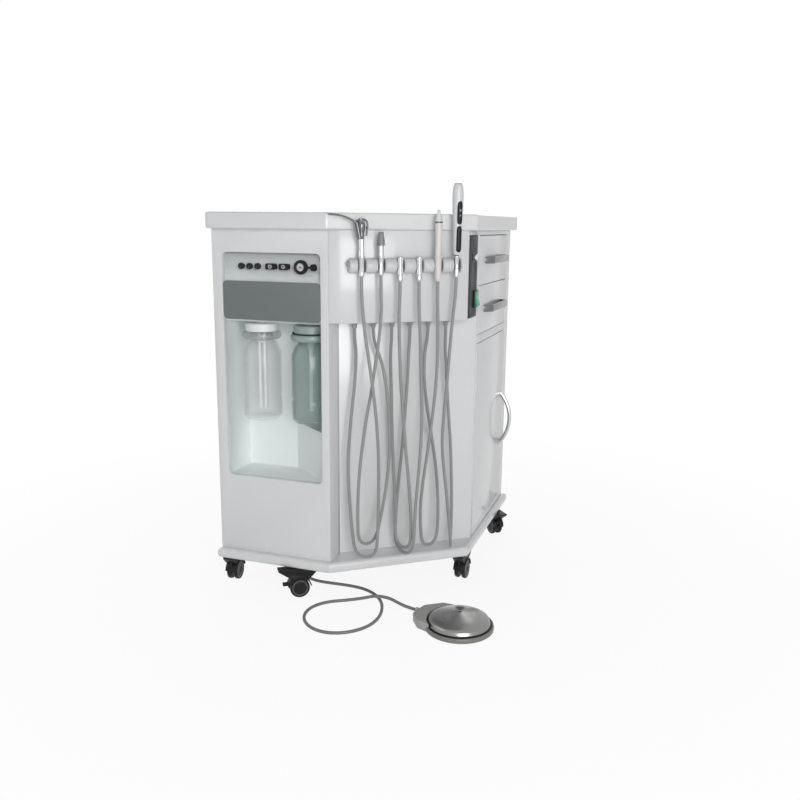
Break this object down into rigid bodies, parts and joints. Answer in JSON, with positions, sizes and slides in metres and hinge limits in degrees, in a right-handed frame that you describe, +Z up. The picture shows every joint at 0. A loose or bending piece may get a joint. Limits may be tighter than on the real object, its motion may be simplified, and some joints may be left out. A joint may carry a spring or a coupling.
{
  "type": "portable dental unit",
  "caption": "Mobile dental cabinet with bottle bay, slanted instrument rail with hanging hoses, drawers, cupboard door and a wired foot control.",
  "frame": {"origin": "on the floor, under the centre of the footprint of cabinet and foot control, cords left out", "axes": "+Z up; the bottle bay faces -Y, the drawers and the door face +X, and the instrument rail is on the slanted face between them"},
  "size_m": [0.657, 0.7743, 0.912],
  "materials": {
    "board_white": "glossy white painted board",
    "case_white": "white laminated board",
    "bay_grey": "moulded, greenish grey",
    "box_white": "moulded, smooth white",
    "smoked": "smoked grey sheet",
    "chrome": "polished",
    "steel": "plain turned steel",
    "black": "satin black",
    "wheel_black": "black tread with grey hub rings",
    "panel_dark": "dark grey sheet",
    "green_lamp": "translucent green, lit",
    "clear_bottle": "clear moulded bottle",
    "green_bottle": "pale green moulded bottle",
    "cap_white": "white moulded cap",
    "rail_grey": "light grey moulded rail",
    "hand_white": "warm white handpiece",
    "light_white": "white with a black key pad",
    "coupling_grey": "chrome with a grey cap",
    "hose_grey": "soft grey tubing",
    "gland_grey": "grey moulded gland",
    "pedal_grey": "olive grey moulded ring",
    "pump_blue": "painted castings and tank",
    "gauge_black": "black bezel round a white dial"
  },
  "bodies": {
    "cabinet": {"worktop": "board_white", "base_board": "board_white", "left_panel": "board_white", "back_panel": "board_white", "front_panel": "board_white", "corner_panel": "board_white", "right_frame": "board_white", "inner_case": "case_white", "door_pivots": "steel", "compressor": "pump_blue", "bottle_bay": "bay_grey", "smoked_panel": "smoked", "quick_couplers": "black", "pressure_gauge": "gauge_black", "bottle_caps": "cap_white", "hanger_box": "box_white", "switch_panel": "panel_dark", "holder_rail": "rail_grey", "hose_glands": "gland_grey", "pedal_base": "pedal_grey", "syringe_hose": "hose_grey", "capped_hose": "hose_grey", "motor_hose": "hose_grey", "turbine_hose": "hose_grey", "scaler_hose": "hose_grey", "light_hose": "hose_grey", "foot_hose": "hose_grey"},
    "upper_drawer": {"upper_drawer": "board_white", "upper_drawer_handle": "chrome"},
    "lower_drawer": {"lower_drawer": "board_white", "lower_drawer_handle": "chrome"},
    "door": {"door_panel": "board_white", "door_handle": "chrome"},
    "valve_knob_1": {"valve_knob_1": "black"},
    "valve_knob_2": {"valve_knob_2": "black"},
    "valve_knob_3": {"valve_knob_3": "black"},
    "regulator_knob": {"regulator_knob": "black"},
    "water_bottle": {"water_bottle": "clear_bottle"},
    "waste_bottle": {"waste_bottle": "green_bottle"},
    "power_rocker": {"power_rocker": "green_lamp"},
    "key_switch": {"key_switch": "chrome"},
    "syringe": {"syringe_body": "chrome", "syringe_nozzle": "chrome"},
    "syringe_button": {"syringe_button": "black"},
    "capped_coupling": {"capped_coupling": "coupling_grey"},
    "motor_coupling": {"motor_coupling": "chrome"},
    "turbine_coupling": {"turbine_coupling": "chrome"},
    "scaler_handpiece": {"scaler_handpiece": "hand_white"},
    "curing_light": {"curing_light": "light_white"},
    "pedal_disc": {"pedal_disc": "chrome"},
    "caster_left_front": {"caster_left_front": "black"},
    "wheels_left_front": {"wheels_left_front": "wheel_black"},
    "caster_front_corner": {"caster_front_corner": "black"},
    "wheels_front_corner": {"wheels_front_corner": "wheel_black"},
    "caster_side_corner": {"caster_side_corner": "black"},
    "wheels_side_corner": {"wheels_side_corner": "wheel_black"},
    "caster_right_back": {"caster_right_back": "black"},
    "wheels_right_back": {"wheels_right_back": "wheel_black"},
    "caster_left_back": {"caster_left_back": "black"},
    "wheels_left_back": {"wheels_left_back": "wheel_black"}
  },
  "joints": [
    {"name": "upper_drawer_slide", "type": "slide", "parent": "cabinet", "child": "upper_drawer", "axis": [1, 0, 0], "range_m": [0, 0.28]},
    {"name": "lower_drawer_slide", "type": "slide", "parent": "cabinet", "child": "lower_drawer", "axis": [1, 0, 0], "range_m": [0, 0.28]},
    {"name": "door_hinge", "type": "hinge", "parent": "cabinet", "child": "door", "pos_m": [0.201, 0.01236, 0.332], "axis": [0, 0, 1], "range_deg": [-100, 0]},
    {"name": "valve_1_turn", "type": "hinge", "parent": "cabinet", "child": "valve_knob_1", "pos_m": [-0.2525, -0.247, 0.73703], "axis": [0, 1, 0], "range_deg": [-135, 135]},
    {"name": "valve_2_turn", "type": "hinge", "parent": "cabinet", "child": "valve_knob_2", "pos_m": [-0.233, -0.247, 0.73703], "axis": [0, 1, 0], "range_deg": [-135, 135]},
    {"name": "valve_3_turn", "type": "hinge", "parent": "cabinet", "child": "valve_knob_3", "pos_m": [-0.2135, -0.247, 0.73703], "axis": [0, 1, 0], "range_deg": [-135, 135]},
    {"name": "regulator_turn", "type": "hinge", "parent": "cabinet", "child": "regulator_knob", "pos_m": [-0.0945, -0.2565, 0.73703], "axis": [1, 0, 0], "range_deg": [-150, 150]},
    {"name": "water_bottle_twist", "type": "hinge", "parent": "cabinet", "child": "water_bottle", "pos_m": [-0.2375, -0.2015, 0.59], "axis": [0, 0, 1], "range_deg": [0, 60]},
    {"name": "waste_bottle_twist", "type": "hinge", "parent": "cabinet", "child": "waste_bottle", "pos_m": [-0.1175, -0.2015, 0.59], "axis": [0, 0, 1], "range_deg": [0, 60]},
    {"name": "rocker_tilt", "type": "hinge", "parent": "cabinet", "child": "power_rocker", "pos_m": [0.205, -0.03127, 0.666], "axis": [0, 1, 0], "range_deg": [0, 14]},
    {"name": "key_turn", "type": "hinge", "parent": "cabinet", "child": "key_switch", "pos_m": [0.2065, -0.05033, 0.758], "axis": [1, 0, 0], "range_deg": [-90, 0]},
    {"name": "syringe_lift", "type": "slide", "parent": "cabinet", "child": "syringe", "axis": [0, 0, 1], "range_m": [0, 0.06]},
    {"name": "capped_coupling_lift", "type": "slide", "parent": "cabinet", "child": "capped_coupling", "axis": [0, 0, 1], "range_m": [0, 0.06]},
    {"name": "motor_coupling_lift", "type": "slide", "parent": "cabinet", "child": "motor_coupling", "axis": [0, 0, 1], "range_m": [0, 0.06]},
    {"name": "turbine_coupling_lift", "type": "slide", "parent": "cabinet", "child": "turbine_coupling", "axis": [0, 0, 1], "range_m": [0, 0.06]},
    {"name": "scaler_lift", "type": "slide", "parent": "cabinet", "child": "scaler_handpiece", "axis": [0, 0, 1], "range_m": [0, 0.06]},
    {"name": "curing_light_lift", "type": "slide", "parent": "cabinet", "child": "curing_light", "axis": [0, 0, 1], "range_m": [0, 0.06]},
    {"name": "button_press", "type": "slide", "parent": "syringe", "child": "syringe_button", "axis": [-0.7934, -0.6088, 0], "range_m": [0, 0.0025], "stiffness_N_per_m": 600, "springref_m": -0.001},
    {"name": "pedal_press", "type": "slide", "parent": "cabinet", "child": "pedal_disc", "axis": [0, 0, -1], "range_m": [0, 0.006], "stiffness_N_per_m": 3000, "springref_m": -0.004},
    {"name": "swivel_left_front", "type": "hinge", "parent": "cabinet", "child": "caster_left_front", "pos_m": [-0.308, -0.242, 0.06], "axis": [0, 0, 1], "continuous": true},
    {"name": "spin_left_front", "type": "hinge", "parent": "caster_left_front", "child": "wheels_left_front", "pos_m": [-0.31019, -0.22413, 0.0225], "axis": [-0.9925, -0.1219, 0], "continuous": true},
    {"name": "swivel_front_corner", "type": "hinge", "parent": "cabinet", "child": "caster_front_corner", "pos_m": [-0.1115, -0.25, 0.06], "axis": [0, 0, 1], "continuous": true},
    {"name": "spin_front_corner", "type": "hinge", "parent": "caster_front_corner", "child": "wheels_front_corner", "pos_m": [-0.12624, -0.26032, 0.0225], "axis": [0.5736, -0.8192, 0], "continuous": true},
    {"name": "swivel_side_corner", "type": "hinge", "parent": "cabinet", "child": "caster_side_corner", "pos_m": [0.1945, -0.05312, 0.06], "axis": [0, 0, 1], "continuous": true},
    {"name": "spin_side_corner", "type": "hinge", "parent": "caster_side_corner", "child": "wheels_side_corner", "pos_m": [0.19513, -0.03513, 0.0225], "axis": [-0.9994, 0.0349, 0], "continuous": true},
    {"name": "swivel_right_back", "type": "hinge", "parent": "cabinet", "child": "caster_right_back", "pos_m": [0.1915, 0.296, 0.06], "axis": [0, 0, 1], "continuous": true},
    {"name": "spin_right_back", "type": "hinge", "parent": "caster_right_back", "child": "wheels_right_back", "pos_m": [0.20307, 0.28221, 0.0225], "axis": [0.766, 0.6428, 0], "continuous": true},
    {"name": "swivel_left_back", "type": "hinge", "parent": "cabinet", "child": "caster_left_back", "pos_m": [-0.2915, 0.32, 0.06], "axis": [0, 0, 1], "continuous": true},
    {"name": "spin_left_back", "type": "hinge", "parent": "caster_left_back", "child": "wheels_left_back", "pos_m": [-0.27459, 0.32616, 0.0225], "axis": [-0.342, 0.9397, 0], "continuous": true}
  ]
}
